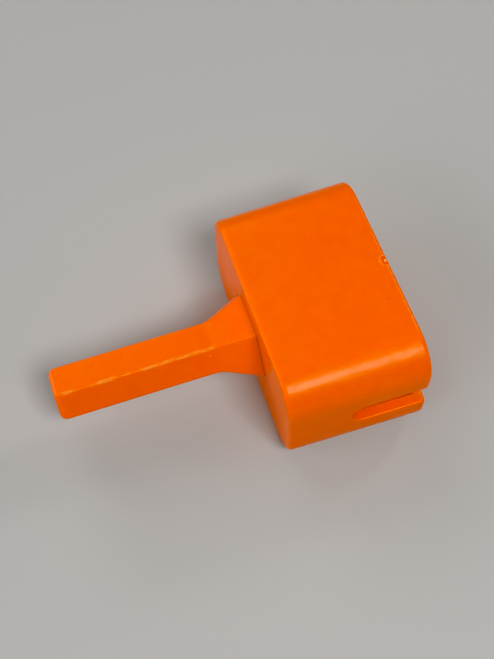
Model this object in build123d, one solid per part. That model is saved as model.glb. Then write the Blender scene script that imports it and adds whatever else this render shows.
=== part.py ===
"""Toy mallet that hangs on a toy tool belt by a slot in its head.

Frame: +Z up, millimetres. The origin is the centre of the flat underside of the head.
+X runs along the handle axis, from the handle towards the far end of the head.
+Y runs along the long direction of the head, from one striking face to the other.
The mallet is the same above and below its middle plane, and the same on both sides of it.
The head narrows from the far end to the handle side by its moulding draft, so the underside
slopes by that angle and only its centre is at Z = 0.
"""
from build123d import *
from math import radians, tan
import os

# ---- driving dimensions -------------------------------------------------------------------
HEAD_LENGTH = 56.0          # Y, striking face to striking face, at the far end
HEAD_WIDTH = 33.6           # X, handle side to far end
HEAD_HEIGHT = 31.6          # Z, at the far end
HEAD_CORNER_RADIUS = 8.9    # long corners between the flat sides and the striking faces
HEAD_DRAFT = 1.0            # degrees on each side
HEAD_RIM_RADIUS = 1.2       # edge round of the handle side and of the far end

HANDLE_REACH = 47.5         # from the handle side of the head to the tip
HANDLE_FLATS = 12.0         # across the flats of the six-sided bar
HANDLE_EDGE_RADIUS = 0.8
HANDLE_TIP_RADIUS = 1.7
SHOULDER_LENGTH = 9.3       # flared stretch next to the head
SHOULDER_FLATS = 19.8       # across the flats, at the head
SHOULDER_BEND_RADIUS = 8.0  # soft bend where the flare starts

SLOT_HEIGHT = 6.9           # Z, opening for the belt
SLOT_DEPTH = 18.4           # X, from the far end to the round closed end
SLOT_MOUTH_RADIUS = 1.4     # round of the two jaw tips
SLOT_MOUTH_SHIFT = 0.1      # the jaw tips end in a fine edge this far before a full round
SLOT_LIP_RADIUS = 0.45      # edge round of the slot on both striking faces

WALL = 2.6                  # shell wall
REBATE_WIDTH = 0.8          # step in the open end of the shell that the cap sits on
CAP_THICKNESS = 2.4
CHANNEL_WALL = 2.0          # wall of the belt channel behind the cap
SEAM_CHAMFER = 0.25         # small groove around the cap
GLUE_GAP = 0.05             # gap on each side between glued pieces

TENON_LENGTH = 9.6          # X, from the end face of the shoulder
TENON_FLATS = 8.0           # across the flats of the six-sided tenon
TENON_CHAMFER = 0.8
SOCKET_GAP = 0.25           # gap on each flat, taken up by the crush ribs
SOCKET_END_GAP = 0.4
SOCKET_WALL = 2.0
CRUSH_RIB_RADIUS = 0.6      # one rib along each flat centres the tenon in the socket

GATE_LENGTH = 2.4           # Y, recess in the far rim where the plastic was fed in
GATE_WIDTH = 1.5            # X
GATE_DEPTH = 0.55           # Z, below the flat top
GATE_CORNER_RADIUS = 0.35
GATE_STUB_RADIUS = 0.35     # cut-off feed stub inside the recess
GATE_STUB_HEIGHT = 0.45

# ---- places worked out from the driving dimensions ----------------------------------------
DRAFT_SLOPE = tan(radians(HEAD_DRAFT))
MID_HEIGHT = (HEAD_HEIGHT - HEAD_WIDTH * DRAFT_SLOPE) / 2
HANDLE_SIDE_X = -HEAD_WIDTH / 2
FAR_END_X = HEAD_WIDTH / 2
HANDLE_TIP_X = HANDLE_SIDE_X - HANDLE_REACH
SLOT_BACK_X = FAR_END_X - SLOT_DEPTH
CAP_BACK_X = FAR_END_X - CAP_THICKNESS
SOCKET_END_X = HANDLE_SIDE_X + TENON_LENGTH + SOCKET_END_GAP
SIDES = 6                   # of the handle bar, the tenon and the socket
TOUCH = 0.01                # half width of the band that picks edges on a plane
OVERSHOOT = 1.0             # how far cutting solids run past the material


def plane_at(place):
    """Plane across the handle axis, with its own X along the model's +Y, facing -X."""
    return Plane(origin=(place, 0, MID_HEIGHT), x_dir=(0, 1, 0), z_dir=(-1, 0, 0))


def head_block(inset, x_start, x_end):
    """Tapered block of the head's section, inset on all sides, between two X places."""
    inset_here = inset + (FAR_END_X - x_end) * DRAFT_SLOPE
    section = RectangleRounded(
        HEAD_LENGTH - 2 * inset_here,
        HEAD_HEIGHT - 2 * inset_here,
        HEAD_CORNER_RADIUS - inset_here,
    )
    return extrude(plane_at(x_end) * section, x_end - x_start, taper=HEAD_DRAFT)


def hexagon_bar(flats, x_start, x_end):
    """Six-sided bar along the handle axis, with two of its flats facing up and down."""
    section = RegularPolygon(flats / 2, SIDES, major_radius=False, rotation=0)
    return extrude(plane_at(x_end) * section, x_end - x_start)


def edges_at_x(shape, place):
    """Edges that lie in the plane X = place."""
    return shape.edges().filter_by_position(Axis.X, place - TOUCH, place + TOUCH)


def slot_solid(length):
    """Belt slot: round closed end, parallel sides and rounded jaw tips, open at the far end."""
    half = SLOT_HEIGHT / 2
    centre_x = SLOT_BACK_X + half
    mouth_x = FAR_END_X + SLOT_MOUTH_SHIFT
    lip_x = mouth_x - SLOT_MOUTH_RADIUS
    wide = half + SLOT_MOUTH_RADIUS
    beyond_x = FAR_END_X + OVERSHOOT
    with BuildSketch(Plane.XZ) as outline:
        with BuildLine():
            ThreePointArc((centre_x, half), (SLOT_BACK_X, 0), (centre_x, -half))
            Line((centre_x, -half), (lip_x, -half))
            RadiusArc((lip_x, -half), (mouth_x, -wide), SLOT_MOUTH_RADIUS)
            Polyline((mouth_x, -wide), (beyond_x, -wide), (beyond_x, wide), (mouth_x, wide))
            RadiusArc((mouth_x, wide), (lip_x, half), SLOT_MOUTH_RADIUS)
            Line((lip_x, half), (centre_x, half))
        make_face()
    return Pos(0, 0, MID_HEIGHT) * extrude(outline.sketch, length / 2, both=True)


def slot_lip_edges(shape):
    """Edges of the slot on both striking faces, without the rounded jaw tips."""
    low = MID_HEIGHT - SLOT_HEIGHT / 2 - TOUCH
    high = MID_HEIGHT + SLOT_HEIGHT / 2 + TOUCH
    near_face_y = HEAD_LENGTH / 2 - HEAD_WIDTH * DRAFT_SLOPE - TOUCH
    lips = ShapeList()
    for edge in shape.edges():
        box = edge.bounding_box()
        in_slot = box.min.Z > low and box.max.Z < high
        on_face = min(abs(box.min.Y), abs(box.max.Y)) > near_face_y
        if in_slot and on_face:
            lips.append(edge)
    return lips


def channel_solid(length):
    """Outside of the channel that lines the slot behind the cap."""
    half = SLOT_HEIGHT / 2 + CHANNEL_WALL
    centre_x = SLOT_BACK_X + SLOT_HEIGHT / 2
    arms_end_x = FAR_END_X - CAP_THICKNESS / 2
    round_end = Pos(centre_x, 0, MID_HEIGHT) * Rot(90, 0, 0) * Cylinder(half, length)
    arms = Box(arms_end_x - centre_x, length, 2 * half)
    return round_end + Pos((centre_x + arms_end_x) / 2, 0, MID_HEIGHT) * arms


def top_height(place):
    """Height of the head's flat top at an X place."""
    return MID_HEIGHT + HEAD_HEIGHT / 2 - (FAR_END_X - place) * DRAFT_SLOPE


def gate_recess():
    """Shallow pocket in the top of the far rim, where the feed stub is cut off."""
    pocket = Box(GATE_WIDTH * 2, GATE_LENGTH, GATE_DEPTH * 2)
    pocket = fillet(pocket.edges().filter_by(Axis.Z), GATE_CORNER_RADIUS)
    return Pos(FAR_END_X, 0, top_height(FAR_END_X)) * pocket


def gate_stub():
    """Rest of the feed stub on the floor of the pocket."""
    stub = Cylinder(GATE_STUB_RADIUS, GATE_STUB_HEIGHT + GATE_DEPTH)
    stub = fillet(stub.edges().sort_by(Axis.Z)[-1], GATE_STUB_RADIUS / 2)
    stub_x = FAR_END_X - GATE_WIDTH / 2
    height = top_height(stub_x) - GATE_DEPTH + (GATE_STUB_HEIGHT - GATE_DEPTH) / 2
    return Pos(stub_x, 0, height) * stub


def make_head_shell():
    """Hollow head, closed on the handle side and open at the far end."""
    shell = head_block(0, HANDLE_SIDE_X, FAR_END_X)
    rims = edges_at_x(shell, HANDLE_SIDE_X) + edges_at_x(shell, FAR_END_X)
    shell = fillet(rims, HEAD_RIM_RADIUS)
    shell -= slot_solid(HEAD_LENGTH + 2 * OVERSHOOT)
    shell = fillet(slot_lip_edges(shell), SLOT_LIP_RADIUS)

    shell -= head_block(WALL, HANDLE_SIDE_X + WALL, FAR_END_X + OVERSHOOT)
    shell -= head_block(WALL - REBATE_WIDTH, CAP_BACK_X, FAR_END_X + OVERSHOOT)

    socket_flats = TENON_FLATS + 2 * SOCKET_GAP
    boss_end_x = SOCKET_END_X + SOCKET_WALL
    shell += hexagon_bar(socket_flats + 2 * SOCKET_WALL, HANDLE_SIDE_X + WALL / 2, boss_end_x)
    shell -= hexagon_bar(socket_flats, HANDLE_SIDE_X - OVERSHOOT, SOCKET_END_X)

    shell -= gate_recess()
    return shell + gate_stub()


def make_slot_cap():
    """Cap that closes the far end, in one piece with the channel that lines the belt slot."""
    plate = head_block(WALL - REBATE_WIDTH + GLUE_GAP, CAP_BACK_X, FAR_END_X)
    plate = chamfer(edges_at_x(plate, FAR_END_X), SEAM_CHAMFER)
    wall_inset = WALL + GLUE_GAP + SLOT_DEPTH * DRAFT_SLOPE
    channel = channel_solid(HEAD_LENGTH - 2 * wall_inset)
    return plate + channel - slot_solid(HEAD_LENGTH)


def flats_pair():
    """Solid between two opposite flats of the handle: bar, soft bend and flared shoulder."""
    bend_x = HANDLE_SIDE_X - SHOULDER_LENGTH
    with BuildSketch(Plane.XZ) as outline:
        with BuildLine():
            upper = FilletPolyline(
                (HANDLE_TIP_X, HANDLE_FLATS / 2),
                (bend_x, HANDLE_FLATS / 2),
                (HANDLE_SIDE_X, SHOULDER_FLATS / 2),
                radius=SHOULDER_BEND_RADIUS,
            )
            mirror(upper, about=Plane.XZ)
            Line((HANDLE_SIDE_X, SHOULDER_FLATS / 2), (HANDLE_SIDE_X, -SHOULDER_FLATS / 2))
            Line((HANDLE_TIP_X, -HANDLE_FLATS / 2), (HANDLE_TIP_X, HANDLE_FLATS / 2))
        make_face()
    return extrude(outline.sketch, SHOULDER_FLATS, both=True)


def make_handle():
    """Six-sided bar with a flared shoulder and a tenon that is glued into the head."""
    pair = flats_pair()
    bar = pair
    for turn in (1, 2):
        bar = bar & (Rot(turn * 360 / SIDES, 0, 0) * pair)
    ridges = bar.edges().filter_by(lambda edge: edge.bounding_box().size.X > TOUCH)
    bar = fillet(ridges, HANDLE_EDGE_RADIUS)
    bar = fillet(edges_at_x(bar, HANDLE_TIP_X), HANDLE_TIP_RADIUS)
    return Pos(0, 0, MID_HEIGHT) * bar + make_tenon()


def make_tenon():
    """Six-sided tenon with a chamfered end and a crush rib along each flat."""
    end_x = HANDLE_SIDE_X + TENON_LENGTH
    tenon = hexagon_bar(TENON_FLATS, HANDLE_SIDE_X - OVERSHOOT, end_x)
    tenon = chamfer(edges_at_x(tenon, end_x), TENON_CHAMFER)
    rib_length = TENON_LENGTH - 2 * TENON_CHAMFER
    rib = Pos(HANDLE_SIDE_X + rib_length / 2, 0, 0) * Rot(0, 90, 0)
    rib = rib * Cylinder(CRUSH_RIB_RADIUS, rib_length)
    rib_middle = TENON_FLATS / 2 + SOCKET_GAP - GLUE_GAP - CRUSH_RIB_RADIUS
    axis_place = Pos(0, 0, MID_HEIGHT)
    for turn in range(SIDES):
        tenon += axis_place * Rot(turn * 360 / SIDES, 0, 0) * Pos(0, 0, rib_middle) * rib
    return tenon


os.makedirs("parts", exist_ok=True)
export_step(make_head_shell(), "parts/head_shell.step")
export_step(make_slot_cap(), "parts/slot_cap.step")
export_step(make_handle(), "parts/handle.step")
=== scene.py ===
"""Looks of the toy mallet: worn satin orange plastic, a pale floor, soft studio light and a camera.

Metres, in the frame of the CAD: +X runs along the handle axis to the far end of the head, +Y from
one striking face to the other, +Z up. The origin is the centre of the underside of the head.
"""
import math

import bpy
from mathutils import Matrix, Vector


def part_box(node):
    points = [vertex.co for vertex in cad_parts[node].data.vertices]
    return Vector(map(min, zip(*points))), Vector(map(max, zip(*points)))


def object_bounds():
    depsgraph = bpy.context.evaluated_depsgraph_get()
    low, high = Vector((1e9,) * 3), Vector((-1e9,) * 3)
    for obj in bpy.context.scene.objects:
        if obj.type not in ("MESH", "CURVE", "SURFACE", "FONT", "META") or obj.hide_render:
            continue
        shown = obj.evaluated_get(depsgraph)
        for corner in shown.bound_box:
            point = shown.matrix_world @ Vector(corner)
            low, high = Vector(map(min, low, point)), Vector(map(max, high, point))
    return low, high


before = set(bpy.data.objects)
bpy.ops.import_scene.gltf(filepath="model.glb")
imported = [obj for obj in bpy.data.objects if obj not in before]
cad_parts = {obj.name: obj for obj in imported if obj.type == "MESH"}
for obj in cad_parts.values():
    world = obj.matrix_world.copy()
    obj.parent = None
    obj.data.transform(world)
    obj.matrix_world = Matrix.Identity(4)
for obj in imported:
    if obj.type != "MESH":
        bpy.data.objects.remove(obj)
cad_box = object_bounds()

MM = 0.001
HEAD_DRAFT = math.radians(1.0)      # slope of the underside of the head

# ---- view ---------------------------------------------------------------------------------
CAMERA_AZIMUTH = math.radians(-15.39)
CAMERA_ELEVATION = math.radians(61.05)
CAMERA_ROLL = math.radians(3.5)
CAMERA_DISTANCE = 0.2375
CAMERA_SENSOR = 36                  # millimetres, on the long side
CAMERA_LENS = 54.63                 # millimetres
CAMERA_CLIP = (0.01, 10)
AIM_OFFSET = Vector((6.75, 1.7, 0)) * MM    # from the centre of the object's box

# ---- colours (linear) ---------------------------------------------------------------------
ORANGE = (0.93, 0.118, 0.0006, 1)
ORANGE_DEEP = (0.87, 0.101, 0.0005, 1)
ORANGE_WARM = (0.95, 0.134, 0.0008, 1)
ORANGE_RUBBED = (0.95, 0.22, 0.045, 1)
# pale colour of scuffs and scratches, also used for a painted highlight along the handle ridge
SCUFF_AND_HIGHLIGHT = (0.95, 0.52, 0.18, 1)
DUST = (0.90, 0.62, 0.46, 1)
# painted shade in the joint of handle and head, mixed with some grime
JOINT_SHADE_AND_GRIME = (0.36, 0.020, 0.0004, 1)
FLOOR = (0.47, 0.465, 0.445, 1)
BACKGROUND = (0.52, 0.52, 0.50, 1)
SPECULAR_TINT = (1.0, 1.0, 0.55, 1)

# ---- plastic: sizes of its patterns -------------------------------------------------------
FINE_GRAIN = 0.20 * MM              # texture that the mould leaves
MEDIUM_GRAIN = 0.55 * MM
ORANGE_PEEL = 3.2 * MM
GRAIN_HEIGHT = 0.035 * MM
COLOUR_DRIFT = 16 * MM
FLOW_MARKS = 5 * MM
WEAR_PATCHES = 1.6 * MM
EDGE_DEPTH = 0.9 * MM               # material thinner than this behind the surface is an edge
SPECK_SPACING = 2.4 * MM
SCRATCH_LENGTH = 9.0 * MM
SCRATCHES = (                       # turn in radians, length by width and by depth, patch size
    ((0.105, 0.2, 0.35), 14.0, 11.2, 5.7 * MM),
    ((0.435, 0.2, 1.45), 18.0, 14.4, 7.9 * MM),
    ((0.780, 0.2, 2.60), 11.0, 8.8, 10.2 * MM),
)
LIGHT_DEPTH = 2.0 * MM              # how far red light travels under the surface
LIGHT_SPREAD = (1.0, 0.25, 0.05)    # share of that depth for red, green and blue

# ---- plastic: levels of its noise at which each pattern starts and is full ----------------
DRIFT_LEVELS = (0.35, 0.65)
DRIFT_ROUGHNESS_LEVELS = (0.30, 0.70)
FLOW_LEVELS = (0.55, 0.80)
GRAIN_LEVELS = (1.1, 1.9)
WEAR_LEVELS = (0.36, 0.62)
EDGE_LEVELS = (0.50, 0.86)          # openness behind the surface: full wear, no wear
SCRATCH_BAND = (0.497, 0.503)
SCRATCH_SOFTNESS = 0.004
SCRATCH_PATCH_LEVELS = (0.52, 0.66)
SPECK_LOT = (0.992, 0.994)          # a cell with a lower random number gets no speck
SPECK_RADII = (0.035, 0.075)        # full and faded, in cells
STREAK_LEVELS = (0.34, 0.56)

# ---- plastic: how far each layer moves the colour towards its own, from 0 to 1 ------------
EVEN_SHARE = 0.88
FLOW_SHARE = 0.10
GRAIN_SHARE = 0.40
RUBBED_SHARE = 0.35
SCRATCH_SHARE = 0.05
SPECK_SHARE = 0.35
SCUFF_AND_HIGHLIGHT_SHARE = 0.50
JOINT_SHADE_AND_GRIME_SHARE = 0.28
HEAD_SHADE_AND_GRIME = 0.3                    # of the painted shade and grime on the handle
POCKET_BORDER = 0.30                # of the paleness of the feed stub

# ---- plastic: what each layer does to the roughness and to the height ---------------------
ROUGHNESS_LOW = 0.31
ROUGHNESS_HIGH = 0.34
RUBBED_POLISH = -0.12
SCRATCH_ROUGHNESS = 0.10
SCUFF_ROUGHNESS = 0.22
FINE_HEIGHT = 0.35                  # these four are in parts of the medium grain's height
PEEL_HEIGHT = 1.6
SCRATCH_CUT = -0.4
SCUFF_CUT = -1.6

# ---- marks on the pieces ------------------------------------------------------------------
RIDGE_OFFSET = Vector((0, -3.4, 5.9)) * MM  # from the handle axis to its upper front ridge
RIDGE_WANDER = 0.9 * MM             # how far the rub marks stray from the ridge
WANDER_SIZE = 2.2 * MM
RUB_AND_HIGHLIGHT_REACH = (0.10 * MM, 0.70 * MM)  # full and faded, away from the ridge
RUB_AND_HIGHLIGHT_END_SOFTNESS = 0.9 * MM
RUB_AND_HIGHLIGHT_STREAKS = 0.40 * MM
RUB_AND_HIGHLIGHT_STRETCHES = (                   # start and end in millimetres from the tip, and strength
    (1.8, 5.0, 0.55),
    (8.6, 9.4, 0.40),
    (10.2, 14.2, 0.80),
    (16.6, 17.6, 0.35),
    # this long stretch is a painted highlight along the ridge nearer the head
    (20.5, 38.0, 0.60),
)
NICK_PLACES = (                     # millimetres from the middle of the tip
    (1.1, -3.4, 6.1),
    (36.5, -4.4, 4.4),
)
NICK_RADIUS = 0.20 * MM
NICK_SOFTNESS = 0.08 * MM
JOINT_SHADE_AND_GRIME_REACH = (0.55 * MM, 0.10 * MM)    # painted shade with some grime: starts and is full at these distances from the head
GATE_OFFSET = Vector((-0.75, 0.0, -0.1)) * MM   # from the middle of the top of the far rim
STUB_RADIUS = 0.42 * MM
POCKET_RADII = (1.15 * MM, 1.60 * MM)
GATE_SOFTNESS = 0.12 * MM
SHOULDER_RADIUS = 11.3 * MM         # of the painted shade and grime on the head, around the handle's shoulder
SHOULDER_SOFTNESS = 0.9 * MM
HANDLE_SIDE_SKIN = (0.1 * MM, 0.3 * MM)     # the painted shade and grime fade between these depths

# ---- stage --------------------------------------------------------------------------------
FLOOR_RADIUS = 2.0
FLOOR_CORNERS = 96
FLOOR_GAP = 0.02 * MM
FLOOR_FADE = (0.25, 0.85)           # the floor fades into the background between these distances
WORLD_STRENGTH = 0.05
WHITE = (1.0, 1.0, 1.0)
LAMPS = (
    # name, azimuth and elevation of the lamp in degrees, distance, size, power, colour
    ("key", 169, 57, 0.525, 0.16, 1.58, (1.0, 0.985, 0.96)),
    ("front_left", 238, 30, 0.7, 0.30, 0.80, WHITE),
    ("right", 62, 32, 0.8, 0.15, 1.1, WHITE),
    ("low_right", 95, 10, 0.8, 0.45, 0.9, WHITE),
    ("left", 268, 30, 0.8, 0.45, 1.3, WHITE),
    ("low_left", 300, 9, 0.8, 0.45, 1.9, WHITE),
    ("back", 345, 42, 0.8, 0.45, 1.7, WHITE),
    ("under", 200, -55, 0.8, 0.60, 2.4, WHITE),     # reaches the object only without the floor
)

# ---- tone of the picture: level and the level shown, both linear --------------------------
GREEN_TONE = ((0.040, 0.032), (0.090, 0.078), (0.160, 0.158), (0.300, 0.300))
BLUE_TONE = ((0.032, 0.001), (0.080, 0.056), (0.200, 0.196))


# ---- shader helpers -----------------------------------------------------------------------
def add_node(tree, kind, inputs=None, **settings):
    """New node. Each input is a plain value or the output socket that feeds it."""
    made = tree.nodes.new(kind)
    for name, value in settings.items():
        setattr(made, name, value)
    for key, value in (inputs or {}).items():
        if isinstance(value, bpy.types.NodeSocket):
            tree.links.new(value, made.inputs[key])
        else:
            made.inputs[key].default_value = value
    return made


def calc(tree, operation, *values):
    """Output of a Math node."""
    return add_node(tree, "ShaderNodeMath", dict(enumerate(values)), operation=operation).outputs[0]


def blend(tree, share, first, second):
    """Colour that goes from first to second as share goes from 0 to 1."""
    inputs = {0: share, 6: first, 7: second}
    return add_node(tree, "ShaderNodeMix", inputs, data_type="RGBA").outputs[2]


def ramp(tree, value, start, end, low=0.0, high=1.0):
    """Smooth step from low to high as value goes from start to end."""
    inputs = {"Value": value, "From Min": start, "From Max": end, "To Min": low, "To Max": high}
    return add_node(tree, "ShaderNodeMapRange", inputs, interpolation_type="SMOOTHSTEP").outputs[0]


def fade(tree, value, start, end):
    """Smooth step from 1 to 0 as value goes from start to end."""
    return ramp(tree, value, start, end, low=1.0, high=0.0)


def window(tree, value, start, end, soft):
    """1 where value lies between start and end, with soft flanks."""
    rise = ramp(tree, value, start - soft, start + soft)
    fall = fade(tree, value, end - soft, end + soft)
    return calc(tree, "MULTIPLY", rise, fall)


def noise(tree, place, size, detail=2.0, roughness=0.5):
    """Noise between 0 and 1 with features of about the given size."""
    inputs = {"Vector": place, "Scale": 1 / size, "Detail": detail, "Roughness": roughness}
    return add_node(tree, "ShaderNodeTexNoise", inputs).outputs["Fac"]


def stretched(tree, place, scale, turn=(0, 0, 0)):
    """Place, turned and scaled, so that a pattern gets long in one direction."""
    inputs = {"Vector": place, "Rotation": turn, "Scale": scale}
    return add_node(tree, "ShaderNodeMapping", inputs).outputs[0]


def split_xyz(tree, place):
    """X, Y and Z of a place."""
    return add_node(tree, "ShaderNodeSeparateXYZ", {"Vector": place}).outputs


def spot(tree, place, centre, radius, soft):
    """1 within the radius around a point, with a soft flank."""
    gap = add_node(tree, "ShaderNodeVectorMath", {0: place, 1: centre}, operation="DISTANCE")
    return fade(tree, gap.outputs["Value"], radius - soft, radius + soft)


def largest(tree, masks):
    """The highest of some masks."""
    total = masks[0]
    for mask in masks[1:]:
        total = calc(tree, "MAXIMUM", total, mask)
    return total


def finish_material(tree, shader, output_kind="ShaderNodeOutputMaterial"):
    """Leads a shader to the output of its tree."""
    output = add_node(tree, output_kind)
    tree.links.new(shader.outputs[0], output.inputs["Surface"])


# ---- layers of the plastic ----------------------------------------------------------------
def moulded_grain(tree, place):
    """Height of the fine texture of the mould, with soft orange peel under it."""
    fine = noise(tree, place, FINE_GRAIN, detail=3.0, roughness=0.6)
    medium = noise(tree, place, MEDIUM_GRAIN)
    peel = noise(tree, place, ORANGE_PEEL, detail=1.0)
    height = calc(tree, "MULTIPLY_ADD", fine, FINE_HEIGHT, medium)
    return calc(tree, "MULTIPLY_ADD", peel, PEEL_HEIGHT, height)


def hairlines(tree, place):
    """Mask of fine scratches in a few directions, in patches."""
    scratches = []
    for turn, by_width, by_depth, patch_size in SCRATCHES:
        along = stretched(tree, place, (1.0, by_width, by_depth), turn)
        level = noise(tree, along, SCRATCH_LENGTH, detail=1.0, roughness=0.4)
        line = window(tree, level, *SCRATCH_BAND, SCRATCH_SOFTNESS)
        patch = ramp(tree, noise(tree, place, patch_size), *SCRATCH_PATCH_LEVELS)
        scratches.append(calc(tree, "MULTIPLY", line, patch))
    return largest(tree, scratches)


def pale_specks(tree, place):
    """Mask of a few tiny pale specks: dots in a very few cells of a Voronoi pattern."""
    cells = add_node(tree, "ShaderNodeTexVoronoi", {"Vector": place, "Scale": 1 / SPECK_SPACING})
    lot = add_node(tree, "ShaderNodeSeparateColor", {"Color": cells.outputs["Color"]}).outputs[0]
    chosen = ramp(tree, lot, *SPECK_LOT)
    dot = fade(tree, cells.outputs["Distance"], *SPECK_RADII)
    return calc(tree, "MULTIPLY", dot, chosen)


def worn_edges(tree, place):
    """Mask of the outward edges, by how thin the material is behind the surface, in patches."""
    inputs = {"Distance": EDGE_DEPTH}
    inside = add_node(tree, "ShaderNodeAmbientOcclusion", inputs, inside=True, samples=8)
    edges = fade(tree, inside.outputs["AO"], *EDGE_LEVELS)
    patches = noise(tree, place, WEAR_PATCHES, detail=4.0, roughness=0.65)
    return calc(tree, "MULTIPLY", edges, ramp(tree, patches, *WEAR_LEVELS))


# ---- marks of each piece: a mask of pale plastic with a painted highlight, and a mask of painted shade with grime ---
def handle_axis_height():
    """Height of the handle axis."""
    low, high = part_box("handle")
    return (low.z + high.z) / 2


def ridge_rubs_and_highlight(tree, place, tip_x):
    """Mask of the broken rub marks along the upper front ridge of the handle, with a painted highlight
    along the same ridge nearer the head.
    """
    x, y, z = split_xyz(tree, place)
    wander = calc(tree, "SUBTRACT", noise(tree, place, WANDER_SIZE), 0.5)
    off_side = calc(tree, "SUBTRACT", y, RIDGE_OFFSET.y)
    side = calc(tree, "MULTIPLY_ADD", wander, RIDGE_WANDER, off_side)
    rise = calc(tree, "SUBTRACT", z, handle_axis_height() + RIDGE_OFFSET.z)
    squared = calc(tree, "MULTIPLY_ADD", side, side, calc(tree, "MULTIPLY", rise, rise))
    near_ridge = fade(tree, calc(tree, "SQRT", squared), *RUB_AND_HIGHLIGHT_REACH)
    stretches = []
    for start, end, strength in RUB_AND_HIGHLIGHT_STRETCHES:
        stretch = window(tree, x, tip_x + start * MM, tip_x + end * MM, RUB_AND_HIGHLIGHT_END_SOFTNESS)
        stretches.append(calc(tree, "MULTIPLY", stretch, strength))
    along_ridge = stretched(tree, place, (0.30, 1.0, 1.0), (0, 0, 0.2))
    streaks = noise(tree, along_ridge, RUB_AND_HIGHLIGHT_STREAKS, detail=3.0, roughness=0.7)
    rubs_and_highlight = calc(tree, "MULTIPLY", near_ridge, largest(tree, stretches))
    return calc(tree, "MULTIPLY", rubs_and_highlight, ramp(tree, streaks, *STREAK_LEVELS))


def handle_marks(tree, place):
    """Rub marks, a painted highlight and nicks on the upper front ridge, and painted shade with some
    dirt where the shoulder meets the head.
    """
    tip_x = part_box("handle")[0].x
    tip_middle = Vector((tip_x, 0, handle_axis_height()))
    pale = [ridge_rubs_and_highlight(tree, place, tip_x)]
    for offset in NICK_PLACES:
        nick = tip_middle + Vector(offset) * MM
        pale.append(spot(tree, place, nick, NICK_RADIUS, NICK_SOFTNESS))
    x = split_xyz(tree, place)[0]
    head_side_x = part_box("head_shell")[0].x
    shade_and_grime_start, shade_and_grime_full = JOINT_SHADE_AND_GRIME_REACH
    # painted shade with some grime on the handle next to the head
    grime_and_shade = ramp(tree, x, head_side_x - shade_and_grime_start, head_side_x - shade_and_grime_full)
    return largest(tree, pale), grime_and_shade


def head_marks(tree, place):
    """Pale feed stub and border of its pocket, and painted shade with some dirt on the head around the
    shoulder.
    """
    low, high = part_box("head_shell")
    gate = Vector((high.x, 0, high.z)) + GATE_OFFSET
    inner_radius, outer_radius = POCKET_RADII
    stub = spot(tree, place, gate, STUB_RADIUS, GATE_SOFTNESS)
    outer = spot(tree, place, gate, outer_radius, GATE_SOFTNESS)
    inner = spot(tree, place, gate, inner_radius, GATE_SOFTNESS)
    border = calc(tree, "MULTIPLY", calc(tree, "SUBTRACT", outer, inner), POCKET_BORDER)
    x = split_xyz(tree, place)[0]
    skin_start, skin_end = HANDLE_SIDE_SKIN
    on_handle_side = fade(tree, x, low.x + skin_start, low.x + skin_end)
    shoulder = Vector((low.x, 0, handle_axis_height()))
    round_shoulder = spot(tree, place, shoulder, SHOULDER_RADIUS, SHOULDER_SOFTNESS)
    # painted shade with some grime on the head's side face around the handle's shoulder
    grime_and_shade = calc(tree, "MULTIPLY", on_handle_side, round_shoulder)
    return calc(tree, "MAXIMUM", stub, border), calc(tree, "MULTIPLY", grime_and_shade, HEAD_SHADE_AND_GRIME)


def no_marks(tree, place):
    """For a piece without marks of its own."""
    return 0.0, 0.0


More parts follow.
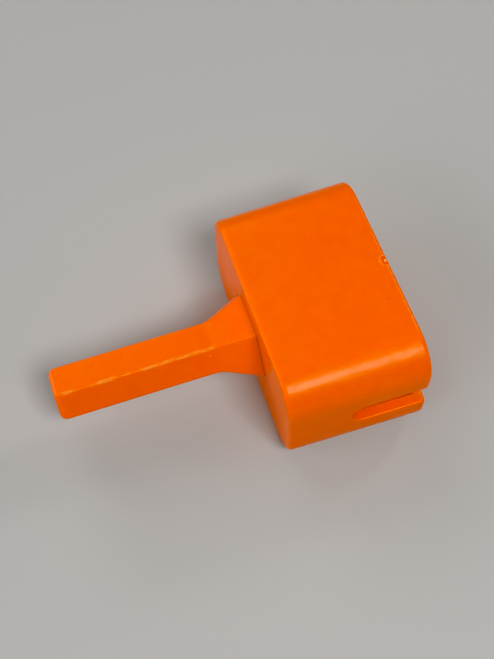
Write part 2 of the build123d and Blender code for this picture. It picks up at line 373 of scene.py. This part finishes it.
# ---- plastic ------------------------------------------------------------------------------
def make_plastic(name, marks):
    """Satin orange plastic with mould grain, colour drift, scratches, worn edges and marks, among them
    a painted highlight and painted shade.
    """
    material = bpy.data.materials.new(name)
    material.use_nodes = True
    tree = material.node_tree
    tree.nodes.clear()
    place = add_node(tree, "ShaderNodeTexCoord").outputs["Object"]

    drift = noise(tree, place, COLOUR_DRIFT, detail=3.0, roughness=0.55)
    along_handle = stretched(tree, place, (0.35, 1.0, 1.0))
    flow = noise(tree, along_handle, FLOW_MARKS, detail=3.0, roughness=0.6)
    grain = moulded_grain(tree, place)
    lines = hairlines(tree, place)
    specks = pale_specks(tree, place)
    rubbed = worn_edges(tree, place)
    pale_marks_and_highlight, grime_and_shade = marks(tree, place)

    colour = blend(tree, ramp(tree, drift, *DRIFT_LEVELS), ORANGE_DEEP, ORANGE_WARM)
    colour = blend(tree, EVEN_SHARE, colour, ORANGE)
    colour = blend(tree, ramp(tree, flow, *FLOW_LEVELS, high=FLOW_SHARE), colour, ORANGE_WARM)
    colour = blend(tree, ramp(tree, grain, *GRAIN_LEVELS, high=GRAIN_SHARE), colour, ORANGE_DEEP)
    for mask, share, own_colour in (
        (rubbed, RUBBED_SHARE, ORANGE_RUBBED),
        (lines, SCRATCH_SHARE, SCUFF_AND_HIGHLIGHT),
        (specks, SPECK_SHARE, DUST),
        # the pale marks include a painted highlight along the handle ridge
        (pale_marks_and_highlight, SCUFF_AND_HIGHLIGHT_SHARE, SCUFF_AND_HIGHLIGHT),
        # painted shade with some grime in the joint of handle and head
        (grime_and_shade, JOINT_SHADE_AND_GRIME_SHARE, JOINT_SHADE_AND_GRIME),
    ):
        colour = blend(tree, calc(tree, "MULTIPLY", mask, share), colour, own_colour)

    roughness = ramp(tree, drift, *DRIFT_ROUGHNESS_LEVELS, ROUGHNESS_LOW, ROUGHNESS_HIGH)
    roughness = calc(tree, "MULTIPLY_ADD", rubbed, RUBBED_POLISH, roughness)
    roughness = calc(tree, "MULTIPLY_ADD", lines, SCRATCH_ROUGHNESS, roughness)
    roughness = calc(tree, "MULTIPLY_ADD", pale_marks_and_highlight, SCUFF_ROUGHNESS, roughness)

    height = calc(tree, "MULTIPLY_ADD", lines, SCRATCH_CUT, grain)
    height = calc(tree, "MULTIPLY_ADD", pale_marks_and_highlight, SCUFF_CUT, height)
    relief = {"Strength": 1.0, "Distance": GRAIN_HEIGHT, "Height": height}
    bump = add_node(tree, "ShaderNodeBump", relief)

    plastic = add_node(tree, "ShaderNodeBsdfPrincipled", {
        "Base Color": colour,
        "Roughness": roughness,
        "Normal": bump.outputs[0],
        "IOR": 1.5,
        "Specular IOR Level": 0.31,
        "Specular Tint": SPECULAR_TINT,
        "Subsurface Weight": 0.25,
        "Subsurface Radius": LIGHT_SPREAD,
        "Subsurface Scale": LIGHT_DEPTH,
    })
    finish_material(tree, plastic)
    return material


def dress(node_name, marks):
    """Gives a CAD node its plastic."""
    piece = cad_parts[node_name]
    piece.data.materials.clear()
    piece.data.materials.append(make_plastic(node_name + "_plastic", marks))


# ---- floor --------------------------------------------------------------------------------
def make_floor_matte():
    """Matte floor that fades into the background far from the object, as a studio sweep does."""
    material = bpy.data.materials.new("floor_matte")
    material.use_nodes = True
    tree = material.node_tree
    tree.nodes.clear()
    place = add_node(tree, "ShaderNodeTexCoord").outputs["Object"]
    distance = add_node(tree, "ShaderNodeVectorMath", {0: place}, operation="LENGTH").outputs["Value"]
    seen = add_node(tree, "ShaderNodeLightPath").outputs["Is Camera Ray"]
    far = calc(tree, "MULTIPLY", ramp(tree, distance, *FLOOR_FADE), seen)
    matte = add_node(tree, "ShaderNodeBsdfDiffuse", {"Color": FLOOR, "Roughness": 0.5})
    backdrop = add_node(tree, "ShaderNodeEmission", {"Color": BACKGROUND})
    inputs = {0: far, 1: matte.outputs[0], 2: backdrop.outputs[0]}
    finish_material(tree, add_node(tree, "ShaderNodeMixShader", inputs))
    return material


def make_floor():
    """Round pale floor that touches the sloping underside of the head."""
    ring = []
    for i in range(FLOOR_CORNERS):
        turn = 2 * math.pi * i / FLOOR_CORNERS
        ring.append((FLOOR_RADIUS * math.cos(turn), FLOOR_RADIUS * math.sin(turn), 0.0))
    mesh = bpy.data.meshes.new("floor")
    mesh.from_pydata(ring, [], [tuple(range(FLOOR_CORNERS))])
    floor = bpy.data.objects.new("floor", mesh)
    bpy.context.scene.collection.objects.link(floor)
    floor.rotation_euler = (0, HEAD_DRAFT, 0)
    floor.location = (0, 0, -FLOOR_GAP)
    floor.data.materials.append(make_floor_matte())
    return floor


def hide_from_below(floor, camera):
    """Takes the floor away when the camera is under it, so that the underside can be seen."""
    driver = floor.driver_add("hide_render").driver
    height = driver.variables.new()
    height.name = "height"
    height.type = "TRANSFORMS"
    height.targets[0].id = camera
    height.targets[0].transform_type = "LOC_Z"
    height.targets[0].transform_space = "WORLD_SPACE"
    driver.expression = "height < 0"


# ---- light --------------------------------------------------------------------------------
def make_lamp(name, azimuth, elevation, distance, size, power, colour):
    """Square soft lamp that faces the object. Azimuth 0 is on the +Y side and 90 on the +X side."""
    turn = math.radians(azimuth)
    tilt = math.radians(elevation)
    direction = Vector((
        math.sin(turn) * math.cos(tilt),
        math.cos(turn) * math.cos(tilt),
        math.sin(tilt),
    ))
    data = bpy.data.lights.new(name, "AREA")
    data.size = size
    data.energy = power
    data.color = colour
    lamp = bpy.data.objects.new(name, data)
    bpy.context.scene.collection.objects.link(lamp)
    lamp.location = direction * distance
    lamp.visible_camera = False
    lamp.rotation_mode = "QUATERNION"
    lamp.rotation_quaternion = direction.to_track_quat("Z", "Y")


def make_world():
    """Weak even light from all sides, and a pale background for the camera."""
    world = bpy.data.worlds.new("studio")
    bpy.context.scene.world = world
    world.use_nodes = True
    tree = world.node_tree
    tree.nodes.clear()
    light = add_node(tree, "ShaderNodeBackground", {"Color": (1, 1, 1, 1), "Strength": WORLD_STRENGTH})
    backdrop = add_node(tree, "ShaderNodeBackground", {"Color": BACKGROUND, "Strength": 1.0})
    seen = add_node(tree, "ShaderNodeLightPath").outputs["Is Camera Ray"]
    inputs = {0: seen, 1: light.outputs[0], 2: backdrop.outputs[0]}
    finish_material(tree, add_node(tree, "ShaderNodeMixShader", inputs), "ShaderNodeOutputWorld")


def set_picture_tone():
    """Plain view with a phone's contrast: the weak green and blue of a strong orange get weaker."""
    view = bpy.context.scene.view_settings
    view.view_transform = "Standard"
    view.use_curve_mapping = True
    _, green, blue, _ = view.curve_mapping.curves
    for curve, tone in ((green, GREEN_TONE), (blue, BLUE_TONE)):
        for level, shown in tone:
            curve.points.new(level, shown)
    view.curve_mapping.update()


# ---- camera -------------------------------------------------------------------------------
def make_camera():
    """Camera above and a little in front, rolled a few degrees."""
    low, high = cad_box
    aim = (low + high) / 2 + AIM_OFFSET
    flat = math.cos(CAMERA_ELEVATION)
    back = Vector((
        math.sin(CAMERA_AZIMUTH) * flat,
        -math.cos(CAMERA_AZIMUTH) * flat,
        math.sin(CAMERA_ELEVATION),
    ))
    data = bpy.data.cameras.new("camera")
    data.lens = CAMERA_LENS
    data.sensor_width = CAMERA_SENSOR
    data.clip_start, data.clip_end = CAMERA_CLIP
    camera = bpy.data.objects.new("camera", data)
    bpy.context.scene.collection.objects.link(camera)
    turn = (-back).to_track_quat("-Z", "Y").to_matrix().to_4x4()
    roll = Matrix.Rotation(-CAMERA_ROLL, 4, "Z")
    camera.matrix_world = Matrix.Translation(aim + back * CAMERA_DISTANCE) @ turn @ roll
    bpy.context.scene.camera = camera
    return camera


dress("head_shell", head_marks)
dress("slot_cap", no_marks)
dress("handle", handle_marks)
camera = make_camera()
hide_from_below(make_floor(), camera)
for lamp in LAMPS:
    make_lamp(*lamp)
make_world()
set_picture_tone()
